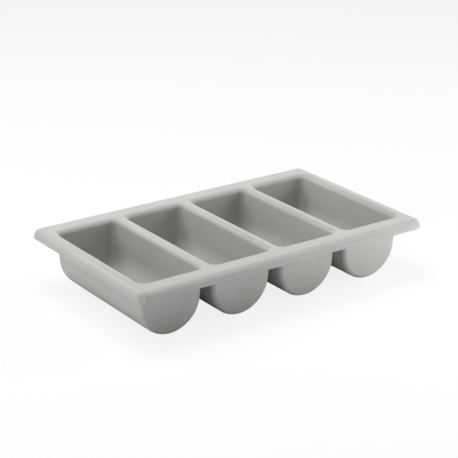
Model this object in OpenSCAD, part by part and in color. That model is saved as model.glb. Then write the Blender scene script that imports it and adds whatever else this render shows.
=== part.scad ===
// Cutlery tray: four round-bottomed troughs hang from one rolled rim, parted by hollow dividers.
// Origin under the middle of the tray, at the lowest line of the troughs. X runs along the long side.

/* [Tray] */
// Length over the rim
tray_l = 530; // [440:1:620]
// Width over the rim
tray_w = 325; // [265:1:400]
// Height from the lowest line of the troughs to the top of the rim
tray_h = 95.5; // [85:0.5:130]
// Thickness of the moulded wall
wall = 2.5; // [1.5:0.1:4]
// Draft of the trough walls from the vertical, in degrees
draft = 3.5; // [1:0.5:6]

/* [Rim] */
// Plan radius of the outer corners, at the foot of the skirt
corner_r = 15.5; // [14:0.5:40]
// Radius of the rolled outer edge
roll_r = 10.5; // [6:0.5:12]
// Upright band of the skirt, below the rolled edge
skirt_h = 0.2; // [0.2:0.1:10]
// Width by which the foot of the skirt flares out
flare_w = 1; // [0.5:0.1:2]
// Height of the flared foot
flare_h = 2.2; // [2:0.1:6]
// Flat land along each short side
end_land = 7.3; // [3:0.1:30]
// Flat land along each long side
side_land = 20.6; // [6:0.1:45]

/* [Compartments] */
// Flat land on top of a divider
divider_land = 5.2; // [2:0.1:20]
// Radius of the lip round each opening
lip_r = 8; // [5:0.25:12]
// Inside radius of the trough's upright corners and of the fillet round its ends
fillet_r = 9; // [5:0.5:16]
// Outside radius of the same corners and fillet, held to what an even wall gives at most
outer_fillet_r = 7; // [4:0.5:16]

/* [Hidden] */
bin_count = 4;
grey = "#bbbab8";
$fn = 96;

// Facets round a trough and round its fillets
trough_fn = 48;
fillet_fn = 24;

// Thickness of the outlines that a trough is drawn up to
outline_h = 0.01;

// How far a cutting body runs past what it cuts
overcut = 1;

// Outer edge of the flat land, where the roll starts
roll_out = roll_r + flare_w;
land_half_l = tray_l / 2 - roll_out;
land_half_w = tray_w / 2 - roll_out;
land_r = corner_r - roll_out;

// Openings, measured where the flat land turns into the lip
opening_w = (2 * (land_half_l - end_land) - (bin_count - 1) * divider_land) / bin_count;
opening_l = 2 * (land_half_w - side_land);
pitch = opening_w + divider_land;
lip_reach = lip_r * cos(draft);
opening_r = fillet_r + lip_reach;

// Seat between the lip's foot and the trough, where the lip has turned into the drafted wall
seat_z = tray_h - lip_r * (1 - sin(draft));

// Flared foot: one arc that leaves the upright band and turns outwards
flare_r = (pow(flare_w, 2) + pow(flare_h, 2)) / (2 * flare_w);

// Inside radius of the trough that meets the drafted walls without a crease
trough_r = (opening_w / 2 - lip_reach - (seat_z - wall) * tan(draft)) / (1 / cos(draft) - tan(draft));

// Outside fillet, never larger than the inside one with the wall added, so that the wall is nowhere thinned
skin_fillet = min(outer_fillet_r, fillet_r + wall);

// A divider is straight between the corners of its neighbours
divider_half_l = opening_l / 2 - opening_r;
divider_half_w = divider_land / 2 + lip_reach;

// Middle of a compartment or of a divider, counted from 1
function bin_x(i) = (i - (bin_count + 1) / 2) * pitch;
function divider_x(i) = (i - bin_count / 2) * pitch;

// Inside of a side wall and of an end wall at a height
function inside_half_w(z) = opening_w / 2 - lip_reach - (seat_z - z) * tan(draft);
function inside_half_l(z) = opening_l / 2 - lip_reach - (seat_z - z) * tan(draft);

// Rectangle with round corners, by its half sides
module round_rect(half_x, half_y, r) {
    square([2 * half_x, 2 * (half_y - r)], center = true);
    square([2 * (half_x - r), 2 * half_y], center = true);
    for (x = [-1, 1], y = [-1, 1])
        translate([x * (half_x - r), y * (half_y - r)])
            circle(r);
}

// Carries a section round a rectangle with round corners. The section's x points outwards, its y up.
module sweep_round(half_x, half_y, r) {
    for (turn = [0 : 3]) {
        near = turn % 2 == 0 ? half_x : half_y;
        far = turn % 2 == 0 ? half_y : half_x;
        rotate(90 * turn) {
            translate([near, far - r, 0])
                rotate([90, 0, 0])
                    linear_extrude(2 * (far - r))
                        children();
            translate([near - r, far - r, 0])
                rotate_extrude(angle = 90)
                    translate([r, 0])
                        children();
        }
    }
}

// Lip section: a roll that ends where it has turned into the drafted wall. x is 0 where the land ends.
module lip_section() {
    translate([0, tray_h - lip_r])
        intersection() {
            difference() {
                circle(lip_r);
                circle(lip_r - wall);
            }
            translate([-lip_r, lip_r * sin(draft)])
                square(lip_r);
        }
}

// Rim section: rolled edge, upright band and flared foot. x is 0 where the flat land ends.
module rim_section() {
    band_z = tray_h - roll_r - skirt_h;
    foot_z = band_z - flare_h;
    translate([0, tray_h - roll_r])
        intersection() {
            difference() {
                circle(roll_r);
                circle(roll_r - wall);
            }
            square(roll_r);
        }
    translate([roll_r - wall, band_z])
        square([wall, skirt_h]);
    intersection() {
        translate([roll_r + flare_r, band_z])
            difference() {
                circle(flare_r + wall);
                circle(flare_r);
            }
        translate([roll_r - wall, foot_z])
            square([wall + flare_w, flare_h]);
    }
}

// Body of a trough, out to a skin over its inside, with its fillet, drawn up to a height
module trough(skin, fillet, top_z) {
    r = trough_r + skin;
    skin_level = skin / cos(draft);
    ring_z = wall - skin + r * cos(draft);
    ring_y = inside_half_l(ring_z) + skin_level - fillet / cos(draft);
    corner_x = inside_half_w(top_z) + skin_level - fillet;
    corner_y = inside_half_l(top_z) + skin_level - fillet;
    hull() {
        for (end = [0, 1])
            mirror([0, end, 0])
                translate([0, ring_y, ring_z])
                    rotate([-90 - draft, 0, 0])
                        rotate_extrude(angle = 180, $fn = trough_fn)
                            translate([r - fillet, 0])
                                circle(fillet, $fn = fillet_fn);
        for (x = [-1, 1], y = [-1, 1])
            translate([x * corner_x, y * corner_y, top_z - outline_h])
                cylinder(r = fillet, h = outline_h, $fn = fillet_fn);
    }
}

// Rolled rim with its skirt, the flat land and the lips, without the straight dividers
module rim_frame() {
    color(grey)
        difference() {
            union() {
                translate([0, 0, tray_h - wall])
                    linear_extrude(wall)
                        difference() {
                            round_rect(land_half_l, land_half_w, land_r);
                            for (i = [1 : bin_count])
                                translate([bin_x(i), 0])
                                    round_rect(opening_w / 2, opening_l / 2, opening_r);
                        }
                sweep_round(land_half_l, land_half_w, land_r)
                    rim_section();
                for (i = [1 : bin_count])
                    translate([bin_x(i), 0, 0])
                        sweep_round(opening_w / 2, opening_l / 2, opening_r)
                            lip_section();
            }
            for (i = [1 : bin_count - 1])
                translate([divider_x(i) - divider_half_w - overcut, -divider_half_l, seat_z - overcut])
                    cube([2 * (divider_half_w + overcut), 2 * divider_half_l, tray_h - seat_z + 2 * overcut]);
        }
}

// Hollow bar between two compartments: a lip on each side of a narrow land, open below
module divider(i) {
    color(grey)
        translate([divider_x(i), divider_half_l, 0])
            rotate([90, 0, 0])
                linear_extrude(2 * divider_half_l) {
                    translate([-divider_land / 2, tray_h - wall])
                        square([divider_land, wall]);
                    for (side = [0, 1])
                        mirror([side, 0])
                            translate([-divider_land / 2, 0])
                                lip_section();
                }
}

// Round-bottomed trough of one compartment, open at the top
module bin(i) {
    color(grey)
        translate([bin_x(i), 0, 0])
            difference() {
                trough(wall, skin_fillet, seat_z);
                trough(0, fillet_r, seat_z + overcut);
            }
}

rim_frame();
divider(1);  // divider_1
divider(2);  // divider_2
divider(3);  // divider_3
bin(1);  // bin_1
bin(2);  // bin_2
bin(3);  // bin_3
bin(4);  // bin_4
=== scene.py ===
"""Cutlery tray: one grey moulding with four round-bottomed troughs hung from a rolled rim.

It stands on a pale studio floor, in soft light, before the photograph's camera.
"""
import math

import bmesh
import bpy
import numpy as np
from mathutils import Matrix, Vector
from mathutils.geometry import delaunay_2d_cdt


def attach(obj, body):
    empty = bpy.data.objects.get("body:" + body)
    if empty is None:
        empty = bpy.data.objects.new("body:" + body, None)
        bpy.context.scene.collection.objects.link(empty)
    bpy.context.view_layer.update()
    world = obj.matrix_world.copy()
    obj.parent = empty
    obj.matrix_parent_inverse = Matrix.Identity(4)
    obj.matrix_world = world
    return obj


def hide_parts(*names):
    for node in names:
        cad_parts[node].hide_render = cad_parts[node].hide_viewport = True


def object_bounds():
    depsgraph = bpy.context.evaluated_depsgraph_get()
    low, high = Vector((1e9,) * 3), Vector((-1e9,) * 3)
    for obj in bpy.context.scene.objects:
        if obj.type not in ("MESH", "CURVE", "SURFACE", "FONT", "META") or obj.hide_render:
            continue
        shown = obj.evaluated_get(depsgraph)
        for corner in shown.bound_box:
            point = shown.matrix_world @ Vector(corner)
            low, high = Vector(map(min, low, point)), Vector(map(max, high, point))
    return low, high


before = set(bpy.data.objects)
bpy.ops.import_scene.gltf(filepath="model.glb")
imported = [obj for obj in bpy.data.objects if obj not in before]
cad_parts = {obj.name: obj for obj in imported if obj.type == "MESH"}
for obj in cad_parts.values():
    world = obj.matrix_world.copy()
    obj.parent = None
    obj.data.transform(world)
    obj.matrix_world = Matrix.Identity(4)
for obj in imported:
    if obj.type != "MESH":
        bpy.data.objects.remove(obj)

CAD_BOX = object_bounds()
BINS = 4

# Sizes in metres. The outer ones come from the frame, the rest are the part's own.
TOP = CAD_BOX[1].z
HALF_L = CAD_BOX[1].x
HALF_W = CAD_BOX[1].y
WALL = 0.0025
DRAFT = math.radians(3.5)
CORNER_R = 0.0155
ROLL_R = 0.0105
SKIRT_H = 0.0002
FLARE_W = 0.001
FLARE_H = 0.0022
FOOT_EASE = 0.00025
END_LAND = 0.0073
SIDE_LAND = 0.0206
DIVIDER_LAND = 0.0052
LIP_R = 0.008
FILLET_R = 0.009
OUTER_FILLET_R = 0.007

# Edge of the flat land, where the rim's roll starts
LAND_HALF_L = HALF_L - ROLL_R - FLARE_W
LAND_HALF_W = HALF_W - ROLL_R - FLARE_W
LAND_R = CORNER_R - ROLL_R - FLARE_W

# Openings where the land turns into the lip, and the seat where the lip has turned into the
# drafted wall
OPEN_HALF_W = (LAND_HALF_L - END_LAND - (BINS - 1) * DIVIDER_LAND / 2) / BINS
OPEN_HALF_L = LAND_HALF_W - SIDE_LAND
PITCH = 2 * OPEN_HALF_W + DIVIDER_LAND
LIP_REACH = LIP_R * math.cos(DRAFT)
OPEN_R = FILLET_R + LIP_REACH
CORE_X = OPEN_HALF_W - OPEN_R
CORE_Y = OPEN_HALF_L - OPEN_R
SEAT_Z = TOP - LIP_R * (1 - math.sin(DRAFT))

# Steps of the mesh round arcs, then along straights
LIP_STEPS, ROLL_STEPS, FLARE_STEPS, FILLET_STEPS, CORNER_STEPS = 12, 16, 8, 12, 14
TROUGH_STEPS = 52
SIDE_STEPS, END_STEPS, WALL_STEPS = 28, 12, 8
RIM_X_STEPS, RIM_Y_STEPS = 40, 24

# Points closer than this are one, when pieces are welded and when the land is filled
WELD = 2e-6
FILL_WELD = 1e-7

QUARTER = math.pi / 2
UP = np.array([0.0, 0.0, 1.0])
MIRROR_Y = np.array([1, -1, 1])

# Way out of a trough's drafted end on the +Y side
END_WAY = np.array([0, math.cos(DRAFT), -math.sin(DRAFT)])

# Linear colours of the plastic
PLASTIC_DARK = (0.490, 0.484, 0.470, 1)
PLASTIC_LIGHT = (0.522, 0.516, 0.502, 1)
PLASTIC_SPECK = (0.445, 0.440, 0.428, 1)
PLASTIC_SCUFF = (0.610, 0.605, 0.592, 1)
PLASTIC_IOR = 1.52

# Noises in the plastic: features a metre, detail and roughness. Rub marks are stretched along Y.
GRAIN = (2400, 3, 0.6)
MOTTLE = (14, 3, 0.55)
SPECKLE = (700, 2, 0.5)
RIPPLE = (26, 1, 0.4)
SCUFFS = (420, 5, 0.7)
RUBS = (1, 3, 0.6)
RUB_STRETCH = (900, 14, 900)

# Where scuffs and rub marks come in, by the normal's upward share and by height
CREST_STEEP, CREST_LEVEL = (0.25, 0.6), (0.9, 0.995)
CREST_HEIGHT = (TOP - 0.012, TOP - 0.006)
BOTTOM_FACING = (0.35, 0.9)
BOTTOM_HEIGHT = (TOP - 0.02, TOP - 0.045)

# Ranges of the noises over which they show, and the most of each mark's colour
MOTTLE_RANGE, SPECKLE_RANGE = (0.3, 0.7), (0.55, 0.8)
SCUFF_RANGE, RUB_RANGE = (0.46, 0.7), (0.56, 0.74)
SPECKLE_TINT, SCUFF_TINT, RUB_TINT = 0.22, 0.1, 0.16

# Roughness over the mottling, and what grain, scuffs and rub marks add to it
ROUGH_MOTTLE, ROUGHNESS = (0.25, 0.75), (0.11, 0.14)
ROUGH_GRAIN, GRAIN_ROUGHNESS = (0.3, 0.7), (-0.015, 0.02)
SCUFF_ROUGHNESS, RUB_ROUGHNESS = 0.04, 0.08

# Bumps: strength, and height in metres
RIPPLE_BUMP = (0.25, 0.0004)
RUB_BUMP = (0.2, 0.00003)
GRAIN_BUMP = (0.16, 0.00006)

# Surround: its strength, and what the plastic's gloss mirrors of it behind the tray, a white sweep
# and a greyer card beside it that stands higher. Their upper edges are sines of elevation. The
# sweep fades in along its way, and the card stands before it from CARD_SIDE on along its own.
AMBIENT = 0.03
SWEEP_WAY = (0.57, 0.82, 0)
SWEEP_EDGE = (0.384, 0.404)
SWEEP_STRENGTH = 0.97
SWEEP_FADE = (0, 0.4)
CARD_WAY = (-0.951, 0.309, 0)
CARD_EDGE = (0.57, 0.61)
CARD_STRENGTH = 0.49
CARD_SIDE = (-0.03, 0.03)

# Lamps by name, place, sides, power, and whether they are strips that only the gloss shows or
# boxes that only light. All point at one place.
LIGHTS = [
    ("top_box", (-0.26, 0.25, 2.14), (1.5, 1.0), 31, False),
    ("back_box", (-0.946, 1.128, 1.635), (0.9, 0.9), 15.4, False),
    ("left_box", (-2.067, 0.0, 0.752), (0.9, 0.9), 8.8, False),
    ("right_box", (1.79, -0.652, 1.1), (0.9, 0.9), 16.6, False),
    ("fill_box", (0.4, -0.45, 0.12), (0.4, 0.2), 0.95, False),
    ("rim_strip", (-0.09, 1.703, 1.39), (1.33, 0.24), 1.4, True),
    ("front_strip", (-0.813, -1.21, 0.35), (0.15, 0.66), 6, True),
]
LIGHT_AIM = (0, 0, 0.05)

# Floor: half its side, its colour, and the share of pure white that the camera sees over it
FLOOR_HALF = 9
FLOOR_COLOUR = (0.9, 0.9, 0.9, 1)
FLOOR_WHITE = 0.85
WHITE = (1, 1, 1, 1)

# Camera fitted to the photograph: angles in degrees, distance from a point over the middle, and in
# pixels the focal length, the picture's side and how far the aim lies above and right of the point
VIEW_AZIMUTH, VIEW_ELEVATION = -35.04, 21.6
VIEW_DISTANCE = 2.47
VIEW_MIDDLE = (0, 0, 0.060)
FOCAL_PX, IMAGE_PX = 1566.0, 458
AIM_UP_PX, AIM_RIGHT_PX = 16.0, 0.23
SENSOR_MM = 36
VIEW_CLIP = 50


def half_w(z):
    """Inside of a trough's side wall at a height."""
    return OPEN_HALF_W - LIP_REACH - (SEAT_Z - z) * math.tan(DRAFT)


def half_l(z):
    """Inside of a trough's end wall at a height."""
    return OPEN_HALF_L - LIP_REACH - (SEAT_Z - z) * math.tan(DRAFT)


def bin_x(i):
    """Middle of a compartment, counted from 0."""
    return (i - (BINS - 1) / 2) * PITCH


class Shell:
    """Patches of points with their normals, joined into one closed mesh."""

    def __init__(self):
        self.points, self.normals, self.faces = [], [], []

    def add(self, points, normals, faces):
        """Takes points, their normals and faces, each face turned to look along its normals."""
        start = len(self.points)
        for face in faces:
            p, n = points[list(face)], normals[list(face)]
            spokes = p - p.mean(0)
            facing = np.cross(spokes, np.roll(spokes, -1, 0)).sum(0) @ n.sum(0)
            self.faces.append([start + k for k in (face if facing > 0 else face[::-1])])
        self.points += list(points)
        self.normals += list(normals)

    def grid(self, points, normals):
        """One skin: rows and columns of points."""
        rows, cols = points.shape[:2]
        faces = [
            (r * cols + c, r * cols + c + 1, (r + 1) * cols + c + 1, (r + 1) * cols + c)
            for r in range(rows - 1)
            for c in range(cols - 1)
        ]
        self.add(points.reshape(-1, 3), normals.reshape(-1, 3), faces)

    def wall(self, points, normals):
        """An upper skin with its underside one wall thickness behind it."""
        self.grid(points, normals)
        self.grid(points - WALL * normals, -normals)

    def edge(self, points, normals, facing):
        """Closes the wall along a line of upper points."""
        ends = np.stack([points, points - WALL * normals])
        self.grid(ends, np.broadcast_to(np.array(facing, float), ends.shape))

    def build(self, name, material):
        """The welded object, shaded by the patches' own normals: no seam shows between pieces."""
        mesh = bpy.data.meshes.new(name)
        mesh.from_pydata([tuple(p) for p in self.points], [], self.faces)
        kept = mesh.attributes.new("skin_normal", "FLOAT_VECTOR", "CORNER")
        corners = np.array(self.normals)[[v for face in self.faces for v in face]]
        kept.data.foreach_set("vector", corners.ravel())
        work = bmesh.new()
        work.from_mesh(mesh)
        bmesh.ops.remove_doubles(work, verts=work.verts, dist=WELD)
        work.to_mesh(mesh)
        work.free()
        corners = np.empty(len(mesh.loops) * 3)
        mesh.attributes["skin_normal"].data.foreach_get("vector", corners)
        mesh.attributes.remove(mesh.attributes["skin_normal"])
        mesh.polygons.foreach_set("use_smooth", [True] * len(mesh.polygons))
        mesh.normals_split_custom_set(corners.reshape(-1, 3))
        mesh.materials.append(material)
        piece = bpy.data.objects.new(name, mesh)
        bpy.context.scene.collection.objects.link(piece)
        return piece


def arc_stations(cx, cy, start, steps):
    """Plan stations round a quarter corner: core points and outward directions."""
    turn = start + np.linspace(0, QUARTER, steps + 1)
    return np.tile([cx, cy], (steps + 1, 1)), np.stack([np.cos(turn), np.sin(turn)], 1)


def side_stations(first, last, way, steps):
    """Plan stations along a straight side: core points and outward directions."""
    share = np.linspace(0, 1, steps + 1)[:, None]
    core = np.array(first) + share * (np.array(last) - np.array(first))
    return core, np.tile(way, (steps + 1, 1)).astype(float)


def round_stations(x, core_x, core_y, corner_steps, x_steps, y_steps):
    """The eight stretches of a rectangle with round corners, anticlockwise from the right side."""
    left, right, front, back = x - core_x, x + core_x, -core_y, core_y
    return {
        "right": side_stations((right, front), (right, back), (1, 0), y_steps),
        "right_back": arc_stations(right, back, 0, corner_steps),
        "back": side_stations((right, back), (left, back), (0, 1), x_steps),
        "left_back": arc_stations(left, back, QUARTER, corner_steps),
        "left": side_stations((left, back), (left, front), (-1, 0), y_steps),
        "left_front": arc_stations(left, front, 2 * QUARTER, corner_steps),
        "front": side_stations((left, front), (right, front), (0, -1), x_steps),
        "right_front": arc_stations(right, front, 3 * QUARTER, corner_steps),
    }


def sweep(stations, profile):
    """A profile of rows (out, z, normal out, normal up) carried along plan stations."""
    core, way = stations
    out, z, n_out, n_up = np.array(profile).T
    points = np.empty((len(out), len(core), 3))
    normals = np.empty_like(points)
    points[..., :2] = core[None] + out[:, None, None] * way[None]
    points[..., 2] = z[:, None]
    normals[..., :2] = n_out[:, None, None] * way[None]
    normals[..., 2] = n_up[:, None]
    return points, normals


def arc(cu, cz, r, first, last, steps, side=1):
    """Rows of an arc in a section. Angles turn up from the outward direction.

    Side 1 faces away from the centre, side -1 towards it.
    """
    return [
        (cu + r * math.cos(t), cz + r * math.sin(t), side * math.cos(t), side * math.sin(t))
        for t in np.linspace(first, last, steps + 1)
    ]


def rim_profile():
    """Section of the rim: from the land's edge over the roll to the flared foot, and back."""
    roll_z = TOP - ROLL_R
    skirt_z = roll_z - SKIRT_H
    foot_z = skirt_z - FLARE_H
    flare_r = (FLARE_W**2 + FLARE_H**2) / (2 * FLARE_W)
    flare_u = LAND_R + ROLL_R + flare_r
    outer_end = math.pi + math.asin((FLARE_H - FOOT_EASE) / flare_r)
    inner_end = math.pi + math.asin((FLARE_H - FOOT_EASE) / (flare_r + WALL))
    outer = arc(LAND_R, roll_z, ROLL_R, QUARTER, 0, ROLL_STEPS)
    outer += arc(flare_u, skirt_z, flare_r, math.pi, outer_end, FLARE_STEPS, -1)
    inner = arc(flare_u, skirt_z, flare_r + WALL, inner_end, math.pi, FLARE_STEPS)
    inner += arc(LAND_R, roll_z, ROLL_R - WALL, 0, QUARTER, ROLL_STEPS, -1)

    # Both edges of the foot are rounded off a little, between the ends of the two skins
    tip, heel = outer[-1], inner[0]
    tip_drop, tip_in, heel_lift = 0.35 * FOOT_EASE, 0.4 * FOOT_EASE, 0.3 * FOOT_EASE
    foot = [
        (tip[0] + tip_drop, tip[1] - tip_drop, 0.75, -0.66),
        (tip[0] - tip_in, foot_z, 0, -1),
        (heel[0] + FOOT_EASE, foot_z, 0, -1),
        (heel[0] + heel_lift, foot_z + heel_lift, -0.7, -0.7),
    ]
    return outer + foot + inner


def lip_profile():
    """Section of a lip's upper skin, from the land over the roll to the seat."""
    rows = []
    for t in np.linspace(0, QUARTER - DRAFT, LIP_STEPS + 1):
        out, z = OPEN_R - LIP_R * math.sin(t), TOP - LIP_R * (1 - math.cos(t))
        rows.append((out, z, -math.sin(t), math.cos(t)))
    return rows


def trough_path():
    """Stations down one wall of a trough, round its bottom and up the other wall.

    Each is x, z, the way out in x and z, and its share of the wall's height.
    """
    r = half_w(WALL) / (1 / math.cos(DRAFT) - math.tan(DRAFT))
    turn_z = WALL + r - r * math.sin(DRAFT)
    rows = []
    for share in np.linspace(1, 0, WALL_STEPS + 1)[:-1]:
        z = turn_z + share * (SEAT_Z - turn_z)
        rows.append((half_w(z), z, math.cos(DRAFT), -math.sin(DRAFT), share))
    for t in np.linspace(-DRAFT, -QUARTER, TROUGH_STEPS // 2 + 1):
        rows.append((r * math.cos(t), WALL + r + r * math.sin(t), math.cos(t), math.sin(t), 0))
    return rows + [(-x, z, -nx, nz, share) for x, z, nx, nz, share in rows[-2::-1]]


def turned(a, b, steps):
    """Directions that turn evenly from one to another."""
    angle = math.acos(max(-1.0, min(1.0, float(a @ b))))
    share = np.linspace(0, 1, steps + 1)[:, None]
    return (np.sin((1 - share) * angle) * a + np.sin(share * angle) * b) / math.sin(angle)


def trough_corner(row, skin, fillet):
    """Fillet between a trough's side and its +Y end: points and ways out.

    Skin is how far it lies outside the inner skin. The fillet levels out towards the seat.
    """
    x, z, nx, nz, share = row
    way = turned(np.array([nx, 0, nz]), END_WAY, FILLET_STEPS)
    x_skin, z_skin = x + skin * nx, z + skin * nz
    z_ball = z_skin - fillet * nz
    y_ball = half_l(z_ball) + (skin - fillet) / math.cos(DRAFT)
    points = np.array([x_skin - fillet * nx, y_ball, z_ball]) + fillet * way
    if share:
        turn = np.linspace(0, QUARTER, FILLET_STEPS + 1)
        hand = math.copysign(1, nx)
        plan = np.stack([hand * np.cos(turn), np.sin(turn), np.zeros_like(turn)], 1)
        y_skin = half_l(z) + skin * math.cos(DRAFT)
        level = np.array([x_skin - hand * fillet, y_skin - fillet, z_skin]) + fillet * plan
        level_way = plan * math.cos(DRAFT) - math.sin(DRAFT) * UP
        points = (1 - share) * points + share * level
        way = (1 - share) * way + share * level_way
        way /= np.linalg.norm(way, axis=1, keepdims=True)
    return points, way


def trough(x):
    """A trough of two skins joined at the seat, each a swept U with end fillets and flat ends."""
    shell = Shell()
    move = np.array([x, 0, 0])
    along = np.ones((SIDE_STEPS - 1, 3))
    along[:, 1] = np.linspace(-1, 1, SIDE_STEPS + 1)[1:-1]
    across = np.ones((END_STEPS + 1, 3))
    across[:, 0] = np.linspace(1, -1, END_STEPS + 1)
    brims = []
    for skin, fillet, facing in ((0, FILLET_R, -1), (WALL, OUTER_FILLET_R, 1)):
        body, body_way, ends = [], [], []
        for row in trough_path():
            points, way = trough_corner(row, skin, fillet)
            straight_way = np.tile(way[0], (len(along), 1))
            body.append(np.concatenate([points[::-1] * MIRROR_Y, along * points[0], points]))
            body_way.append(np.concatenate([way[::-1] * MIRROR_Y, straight_way, way]))
            ends.append(points[-1])
        body = np.array(body) + move
        shell.grid(body, facing * np.array(body_way))

        # The flat end is spanned across between its two edges, from the seat to the bottom
        flat = np.array([across * end for end in ends[: len(ends) // 2 + 1]])
        way = facing * np.broadcast_to(END_WAY, flat.shape)
        shell.grid(flat + move, way)
        shell.grid(flat * MIRROR_Y + move, way * MIRROR_Y)
        brims.append([body[0], body[-1], flat[0] + move, flat[0] * MIRROR_Y + move])
    for inner, outer in zip(*brims):
        seat = np.stack([inner, outer])
        shell.grid(seat, np.broadcast_to(UP, seat.shape))
    return shell


def cut_ends(divider, rim_frame, points, normals, first):
    """Closes a divider and the frame against each other at both ends of a stretch.

    First is the way along Y that the divider's end faces where the stretch begins.
    """
    for k, out in ((0, first), (-1, -first)):
        divider.edge(points[:, k], normals[:, k], (0, out, 0))
        rim_frame.edge(points[:, k], normals[:, k], (0, -out, 0))


def opening(i, rim_frame, dividers):
    """Lip round an opening, on the frame and the dividers. Gives its edges on the land by side."""
    beside = {}
    if i < BINS - 1:
        beside["right"] = dividers[i]
    if i > 0:
        beside["left"] = dividers[i - 1]
    edge = {}
    stretches = round_stations(bin_x(i), CORE_X, CORE_Y, FILLET_STEPS, END_STEPS, SIDE_STEPS)
    for side, stations in stretches.items():
        points, normals = sweep(stations, lip_profile())
        owner = beside.get(side, rim_frame)
        owner.wall(points, normals)
        owner.edge(points[-1], normals[-1], -UP)
        if side in beside:
            cut_ends(owner, rim_frame, points, normals, -1 if side == "right" else 1)
        edge[side] = points[0]
    return edge


def divider_top(divider, rim_frame, left_edge, right_edge):
    """Flat top of a divider between the lips of two openings."""
    points = np.stack([left_edge, right_edge])
    normals = np.broadcast_to(UP, points.shape)
    divider.wall(points, normals)
    cut_ends(divider, rim_frame, points, normals, -1)


def rim(rim_frame):
    """The rolled and flared rim. Gives the outline where the land meets it."""
    core_x, core_y = LAND_HALF_L - LAND_R, LAND_HALF_W - LAND_R
    outline = []
    stretches = round_stations(0, core_x, core_y, CORNER_STEPS, RIM_X_STEPS, RIM_Y_STEPS)
    for stations in stretches.values():
        points, normals = sweep(stations, rim_profile())
        rim_frame.grid(points, normals)
        outline += list(points[0][:-1])
    return outline


def inner_outline(edges):
    """Outline round all the openings: along their fronts, and back along their backs."""
    hole = []
    for edge in edges:
        hole += [*edge["left_front"][:-1], *edge["front"][:-1], *edge["right_front"]]
    hole = hole[:-1] + list(edges[-1]["right"][:-1])
    for edge in reversed(edges):
        hole += [*edge["right_back"][:-1], *edge["back"][:-1], *edge["left_back"]]
    return hole[:-1] + list(edges[0]["left"][:-1])


def land(rim_frame, outline, hole):
    """Flat land between two plan outlines, with its underside."""
    corners = [Vector((p[0], p[1])) for loop in (outline, hole) for p in loop]
    loops = [list(range(len(outline))), list(range(len(outline), len(corners)))]
    triangles_inside, hole_loop = 1, 1
    filled = delaunay_2d_cdt(corners, [], loops, triangles_inside, FILL_WELD)
    flat, _, faces, _, _, owners = filled
    faces = [face for face, loops_round in zip(faces, owners) if hole_loop not in loops_round]
    plan = np.array([[v.x, v.y, TOP] for v in flat])
    up = np.broadcast_to(UP, plan.shape)
    rim_frame.add(plan, up, faces)
    rim_frame.add(plan - WALL * up, -up, faces)


def model(material):
    """The moulding's eight pieces, in the places of the CAD nodes."""
    rim_frame = Shell()
    dividers = [Shell() for _ in range(BINS - 1)]
    edges = [opening(i, rim_frame, dividers) for i in range(BINS)]
    for i, divider in enumerate(dividers):
        divider_top(divider, rim_frame, edges[i]["right"], edges[i + 1]["left"][::-1])
    land(rim_frame, rim(rim_frame), inner_outline(edges))

    pieces = {f"bin_{i + 1}": trough(bin_x(i)) for i in range(BINS)}
    pieces |= {f"divider_{i + 1}": divider for i, divider in enumerate(dividers)}
    pieces["rim_frame"] = rim_frame
    for node, shell in pieces.items():
        piece = shell.build(f"{node}_moulding", material)
        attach(piece, "root")
        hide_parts(node)


class Nodes:
    """Short calls for building a node tree."""

    def __init__(self, tree):
        self.tree = tree

    def feed(self, node, inputs):
        """Sets inputs by name or number, each to a value or by a link from another's output."""
        for key, value in inputs.items():
            if isinstance(value, bpy.types.NodeSocket):
                self.tree.links.new(value, node.inputs[key])
            else:
                node.inputs[key].default_value = value

    def make(self, kind, inputs=None, **settings):
        """A node with its settings and inputs."""
        node = self.tree.nodes.new(kind)
        for key, value in settings.items():
            setattr(node, key, value)
        self.feed(node, inputs or {})
        return node

    def math(self, operation, first, second):
        """Result of a math node."""
        inputs = {0: first, 1: second}
        return self.make("ShaderNodeMath", inputs, operation=operation).outputs[0]

    def span(self, value, low, high, to_low, to_high):
        """A value carried smoothly from one range to another."""
        inputs = {"Value": value, "From Min": low, "From Max": high}
        inputs |= {"To Min": to_low, "To Max": to_high}
        return self.make("ShaderNodeMapRange", inputs, interpolation_type="SMOOTHSTEP").outputs[0]

    def noise(self, place, scale, detail, roughness):
        """Noise from 0 to 1 at a place, with a scale in features a metre."""
        inputs = {"Vector": place, "Scale": scale, "Detail": detail, "Roughness": roughness}
        return self.make("ShaderNodeTexNoise", inputs).outputs[0]

    def stretched(self, place, factors):
        """A place with each axis scaled, for marks that run one way."""
        return self.make("ShaderNodeMapping", {"Vector": place, "Scale": factors}).outputs[0]

    def height(self, vector):
        """The Z of a vector."""
        return self.make("ShaderNodeSeparateXYZ", {0: vector}).outputs["Z"]

    def along(self, vector, way):
        """How far a vector goes one way."""
        inputs = {0: vector, 1: way}
        return self.make("ShaderNodeVectorMath", inputs, operation="DOT_PRODUCT").outputs["Value"]

    def tint(self, share, first, second):
        """A colour between two, by share."""
        inputs = {0: share, 6: first, 7: second}
        return self.make("ShaderNodeMix", inputs, data_type="RGBA").outputs[2]

    def bump(self, height, strength, distance, under=None):
        """Normals bent by a height, over those of another bump if one is given."""
        inputs = {"Height": height, "Strength": strength, "Distance": distance}
        if under is not None:
            inputs["Normal"] = under
        return self.make("ShaderNodeBump", inputs).outputs[0]


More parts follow.
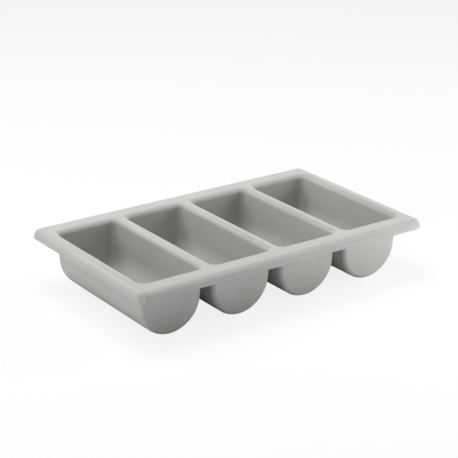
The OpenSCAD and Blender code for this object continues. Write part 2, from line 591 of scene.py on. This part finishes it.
def plastic():
    """Satin grey moulded plastic: fine grain, faint mottling, scuffed crests and rub marks."""
    material = bpy.data.materials.new("grey_plastic_satin")
    material.use_nodes = True
    n = Nodes(material.node_tree)
    place = n.make("ShaderNodeTexCoord").outputs["Object"]
    facing = n.height(n.make("ShaderNodeNewGeometry").outputs["Normal"])
    height = n.height(place)

    grain = n.noise(place, *GRAIN)
    mottle = n.noise(place, *MOTTLE)
    speckle = n.noise(place, *SPECKLE)
    ripple = n.noise(place, *RIPPLE)

    # Rounded crests high on the tray take the scuffs
    not_level = n.span(facing, *CREST_LEVEL, 1, 0)
    crest = n.math("MULTIPLY", n.span(facing, *CREST_STEEP, 0, 1), not_level)
    crest = n.math("MULTIPLY", crest, n.span(height, *CREST_HEIGHT, 0, 1))
    scuff = n.math("MULTIPLY", crest, n.span(n.noise(place, *SCUFFS), *SCUFF_RANGE, 0, 1))

    # Cutlery rubs the bottoms of the troughs lengthways
    low = n.span(height, *BOTTOM_HEIGHT, 0, 1)
    bottom = n.math("MULTIPLY", n.span(facing, *BOTTOM_FACING, 0, 1), low)
    lines = n.noise(n.stretched(place, RUB_STRETCH), *RUBS)
    rub = n.math("MULTIPLY", bottom, n.span(lines, *RUB_RANGE, 0, 1))

    colour = n.tint(n.span(mottle, *MOTTLE_RANGE, 0, 1), PLASTIC_DARK, PLASTIC_LIGHT)
    colour = n.tint(n.span(speckle, *SPECKLE_RANGE, 0, SPECKLE_TINT), colour, PLASTIC_SPECK)
    colour = n.tint(n.math("MULTIPLY", scuff, SCUFF_TINT), colour, PLASTIC_SCUFF)
    colour = n.tint(n.math("MULTIPLY", rub, RUB_TINT), colour, PLASTIC_SCUFF)

    rough = n.span(mottle, *ROUGH_MOTTLE, *ROUGHNESS)
    rough = n.math("ADD", rough, n.span(grain, *ROUGH_GRAIN, *GRAIN_ROUGHNESS))
    rough = n.math("ADD", rough, n.math("MULTIPLY", scuff, SCUFF_ROUGHNESS))
    rough = n.math("ADD", rough, n.math("MULTIPLY", rub, RUB_ROUGHNESS))

    waves = n.bump(ripple, *RIPPLE_BUMP)
    marks = n.bump(rub, *RUB_BUMP, waves)
    normal = n.bump(grain, *GRAIN_BUMP, marks)

    shader = material.node_tree.nodes["Principled BSDF"]
    looks = {"Base Color": colour, "Roughness": rough, "IOR": PLASTIC_IOR, "Normal": normal}
    n.feed(shader, looks)
    return material


def surround():
    """World: white to the camera, a sweep and a card to the gloss, and a little light all round."""
    world = bpy.data.worlds.new("studio")
    world.use_nodes = True
    n = Nodes(world.node_tree)
    path = n.make("ShaderNodeLightPath").outputs
    way = n.make("ShaderNodeTexCoord").outputs["Generated"]
    height = n.height(way)
    sweep_white = n.span(height, *SWEEP_EDGE, SWEEP_STRENGTH, 0)
    card_white = n.span(height, *CARD_EDGE, CARD_STRENGTH, 0)
    white = n.span(n.along(way, CARD_WAY), *CARD_SIDE, sweep_white, card_white)
    white = n.math("MULTIPLY", white, n.span(n.along(way, SWEEP_WAY), *SWEEP_FADE, 0, 1))
    seen = n.math("MAXIMUM", path["Is Camera Ray"], path["Is Transmission Ray"])
    mirrored = n.math("MULTIPLY", path["Is Glossy Ray"], white)
    strength = n.math("MAXIMUM", n.math("MAXIMUM", seen, mirrored), AMBIENT)
    n.feed(world.node_tree.nodes["Background"], {"Color": WHITE, "Strength": strength})
    bpy.context.scene.world = world


def floor_material():
    """Pale floor that the camera sees close to white, with the shadow on it kept."""
    material = bpy.data.materials.new("floor_pale")
    material.use_nodes = True
    nodes = material.node_tree.nodes
    nodes.remove(nodes["Principled BSDF"])
    n = Nodes(material.node_tree)
    paper = n.make("ShaderNodeBsdfDiffuse", {"Color": FLOOR_COLOUR}).outputs[0]
    glow = n.make("ShaderNodeEmission", {"Color": WHITE, "Strength": 1}).outputs[0]
    seen = n.make("ShaderNodeLightPath").outputs["Is Camera Ray"]
    share = n.math("MULTIPLY", seen, FLOOR_WHITE)
    mixed = n.make("ShaderNodeMixShader", {0: share, 1: paper, 2: glow}).outputs[0]
    n.feed(nodes["Material Output"], {"Surface": mixed})
    return material


def floor():
    """The floor, which isn't part of the object."""
    mesh = bpy.data.meshes.new("floor")
    corners = [(FLOOR_HALF * x, FLOOR_HALF * y, 0) for x, y in ((-1, -1), (1, -1), (1, 1), (-1, 1))]
    mesh.from_pydata(corners, [], [(0, 1, 2, 3)])
    mesh.materials.append(floor_material())
    plane = bpy.data.objects.new("floor", mesh)
    bpy.context.scene.collection.objects.link(plane)


def point_at(thing, aim):
    """Turns a lamp or camera from its place towards another."""
    thing.rotation_mode = "QUATERNION"
    thing.rotation_quaternion = (Vector(aim) - thing.location).to_track_quat("-Z", "Y")


def area_light(name, place, size, power, strip):
    """A lamp with two sides: a strip that only the gloss shows, or a soft box that only lights."""
    data = bpy.data.lights.new(name, "AREA")
    data.shape = "RECTANGLE"
    data.size, data.size_y = size
    data.energy = power
    lamp = bpy.data.objects.new(name, data)
    lamp.location = place
    lamp.visible_camera = False
    lamp.visible_glossy = strip
    lamp.visible_diffuse = not strip
    point_at(lamp, LIGHT_AIM)
    bpy.context.scene.collection.objects.link(lamp)


def camera():
    """Camera at the photograph's view."""
    azimuth, elevation = math.radians(VIEW_AZIMUTH), math.radians(VIEW_ELEVATION)
    back_x = math.sin(azimuth) * math.cos(elevation)
    back_y = -math.cos(azimuth) * math.cos(elevation)
    back = Vector((back_x, back_y, math.sin(elevation)))
    right = Vector((math.cos(azimuth), math.sin(azimuth), 0))
    up = back.cross(right)
    middle = Vector(VIEW_MIDDLE)
    shift = VIEW_DISTANCE / FOCAL_PX * (AIM_UP_PX * up + AIM_RIGHT_PX * right)
    data = bpy.data.cameras.new("camera")
    data.sensor_width = SENSOR_MM
    data.lens = FOCAL_PX * SENSOR_MM / IMAGE_PX
    data.clip_end = VIEW_CLIP
    made = bpy.data.objects.new("camera", data)
    made.location = middle + VIEW_DISTANCE * back
    point_at(made, middle + shift)
    bpy.context.scene.collection.objects.link(made)
    bpy.context.scene.camera = made


bpy.context.scene.view_settings.view_transform = "Standard"
model(plastic())
surround()
floor()
for light in LIGHTS:
    area_light(*light)
camera()
